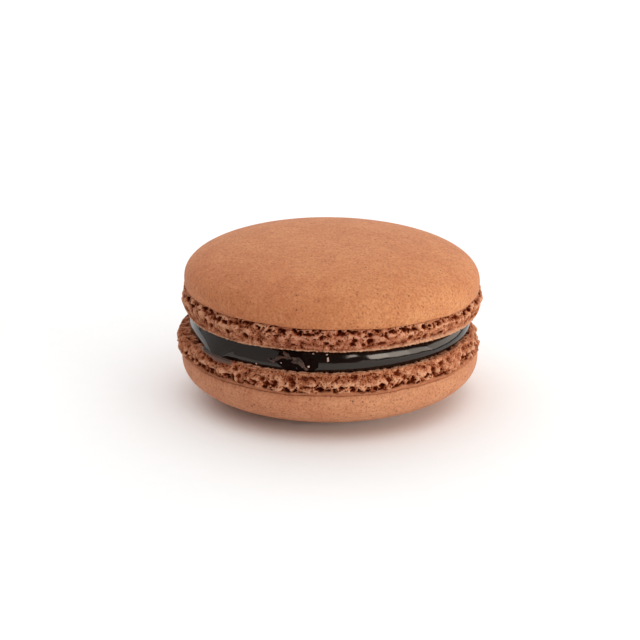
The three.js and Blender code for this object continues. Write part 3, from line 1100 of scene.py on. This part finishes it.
def foot_finish():
    """Baked cocoa meringue where it is broken and porous. Colour follows the relief, partly its own
    browns and partly painted: pale lumps with painted light on their tops, brown between them and
    deep red-brown painted shade in the pores. Its smooth places are an even light brown. It also
    takes painted light at the right, painted shade where the upper foot faces down at the front, and
    a painted highlight along its baked edge."""
    finish = Finish("porous foot", Roughness=0.9, Specular_IOR_Level=0.05)
    place = finish.millimetres()
    fine = finish.noise(place, size=0.17, roughness=0.6)
    patch = finish.noise(place, size=1.2)
    # How far a place stands out sets painted shade in the pores and painted light on the lumps
    level = finish.attribute("stand") + FOOT_GRAIN * (fine - 0.5) + FOOT_PATCHES * (patch - 0.5)
    baked = finish.ramp(finish.step(level, *FOOT_LEVELS), FOOT_TONES_WITH_SHADE)
    crumb = finish.mix(finish.attribute("rough"), finish.mix(patch, *EVEN_FOOT), baked)
    # Painted light on the feet at the right
    crumb = finish.mix(finish.towards(place, **FOOT_LIT_SIDE), crumb, FOOT_SIDE_LIGHT, "MULTIPLY")
    # Painted shade on the front of the upper foot, where it faces down
    soaked = finish.towards(place, **SHADE_FRONT) * finish.towards(place, **SHADE_HEIGHT)
    crumb = finish.mix(soaked, crumb, UNDERSIDE_SHADE, "MULTIPLY")
    # A painted highlight along the baked edge, broken by noise
    breaks = finish.step(finish.noise(place, size=0.6), *EDGE_HIGHLIGHT_BREAKS)
    pale = EDGE_HIGHLIGHT_SHARE * (finish.attribute("pale") * breaks)
    finish.output("Base Color", finish.mix(pale, crumb, EDGE_HIGHLIGHT))
    tooth = finish.noise(place, size=0.2, detail=3.0, roughness=0.6)
    finish.output("Normal", finish.bump(0.18 * tooth))
    return finish.material


def filling_finish():
    """Dark chocolate, wet and glossy, with the slightest unevenness."""
    finish = Finish("glossy filling", Specular_IOR_Level=0.5, Specular_Tint=(1.0, 0.92, 0.85, 1.0))
    place = finish.millimetres()
    cloud = finish.noise(place, size=2.5)
    thin = finish.attribute("thin")
    chocolate = finish.mix(cloud, *CHOCOLATE)
    finish.output("Base Color", finish.mix(thin, chocolate, THIN_CHOCOLATE))
    finish.output("Roughness", GLOSS + CLOUD_DULLS * cloud + THIN_DULLS * thin)
    finish.output("Normal", finish.bump(0.01 * finish.noise(place, size=1.5)))
    return finish.material


def shred_finish():
    """Crust soaked in filling: dark brown with a dull gloss."""
    finish = Finish("soaked crust", Roughness=0.4, Specular_IOR_Level=0.4)
    place = finish.millimetres()
    tone = finish.step(finish.noise(place, size=0.5, detail=3.0), *SOAKED_LEVELS)
    finish.output("Base Color", finish.mix(tone, *SOAKED_CRUST))
    finish.output("Normal", finish.bump(0.1 * finish.noise(place, size=0.25)))
    return finish.material


def mottled_finish(name, size, tones, **constants):
    """A plain finish that varies between two colours by noise of a size."""
    finish = Finish(name, **constants)
    mottle = finish.noise(finish.millimetres(), size)
    finish.output("Base Color", finish.mix(mottle, *tones))
    return finish.material


def shade_patch_finish():
    """Nearly black: painted shade."""
    return mottled_finish("painted shade patch", 0.4, SHADE_PATCH_TONES, Roughness=0.7, Specular_IOR_Level=0.05)


def crumb_finish():
    """Pale dry crumbs, their palest tone partly a painted highlight."""
    return mottled_finish("pale crumb", 0.3, CRUMB_AND_GLINT_TONES, Roughness=0.8)


def floor_finish():
    """Matte white board, faintly uneven."""
    return mottled_finish("white board", 3.0, WHITE_BOARD, Roughness=0.9)


def make_floor():
    """A wide flat board under the macaron."""
    corners = FLOOR_HALF * np.array([(-1, -1, 0), (1, -1, 0), (1, 1, 0), (-1, 1, 0)])
    floor = make_piece("floor", corners, np.array([[0, 1, 2, 3]]), np.empty((0, 3), int))
    floor.data.materials.append(floor_finish())


def softbox(name, azimuth, elevation, distance, size, radiance, colour):
    """A flat lamp turned to the macaron. Azimuth is measured from the camera's side towards the
    right. Its power is its radiance times its area times pi."""
    az, el = np.radians(azimuth), np.radians(elevation)
    away = Vector((np.sin(az) * np.cos(el), -np.cos(az) * np.cos(el), np.sin(el)))
    data = bpy.data.lights.new(name, "AREA")
    data.shape = "RECTANGLE"
    data.size, data.size_y = (side * MM for side in size)
    data.energy = radiance * np.pi * data.size * data.size_y
    data.color = colour
    lamp = bpy.data.objects.new(name, data)
    lamp.location = away * distance * MM + Vector((0, 0, AIM_HEIGHT * MM))
    lamp.rotation_euler = away.to_track_quat("Z", "Y").to_euler()
    bpy.context.scene.collection.objects.link(lamp)


def light_studio():
    """Soft light: a row of boxes on the right, weaker further round, a dim card on the left, a lit
    wall behind, a white ceiling, and a dark room in front."""
    for box in BOXES:
        softbox(**box, colour=WARM)
    for screen in SCREENS:
        softbox(**screen, colour=WHITE)
    world = bpy.data.worlds.new("studio")
    world.use_nodes = True
    background = world.node_tree.nodes["Background"]
    background.inputs["Color"].default_value = (*WHITE, 1)
    background.inputs["Strength"].default_value = ROOM_LIGHT
    bpy.context.scene.world = world
    bpy.context.scene.view_settings.view_transform = "Standard"


def place_camera():
    """The photograph's camera: it looks down at the middle of the macaron from in front, and its
    lens and shift put that point on the photograph's own pixel."""
    camera = bpy.data.cameras.new("camera")
    camera.sensor_width = SENSOR
    camera.lens = PIXELS_PER_MM * VIEW_DISTANCE * SENSOR / FRAME_PIXELS
    camera.shift_x = (FRAME_PIXELS / 2 - AIM_PIXEL[0]) / FRAME_PIXELS
    camera.shift_y = (AIM_PIXEL[1] - FRAME_PIXELS / 2) / FRAME_PIXELS
    camera.clip_start = NEAREST_SEEN * MM
    stand = bpy.data.objects.new("camera", camera)
    away = Vector((0, -np.cos(VIEW_ELEVATION), np.sin(VIEW_ELEVATION)))
    stand.location = away * VIEW_DISTANCE * MM + Vector((0, 0, AIM_HEIGHT * MM))
    stand.rotation_euler = Euler((np.pi / 2 - VIEW_ELEVATION, 0, 0))
    bpy.context.scene.collection.objects.link(stand)
    bpy.context.scene.camera = stand


porous = foot_finish()
for shell, place in ((LOWER, place_lower), (UPPER, place_upper)):
    make_foot(shell, place).data.materials.append(porous)
    make_skin(shell, place).data.materials.append(skin_finish(shell))
make_filling().data.materials.append(filling_finish())
make_shreds().data.materials.append(shred_finish())
make_shade_patch().data.materials.append(shade_patch_finish())
make_crumbs().data.materials.append(crumb_finish())
make_floor()
light_studio()
place_camera()
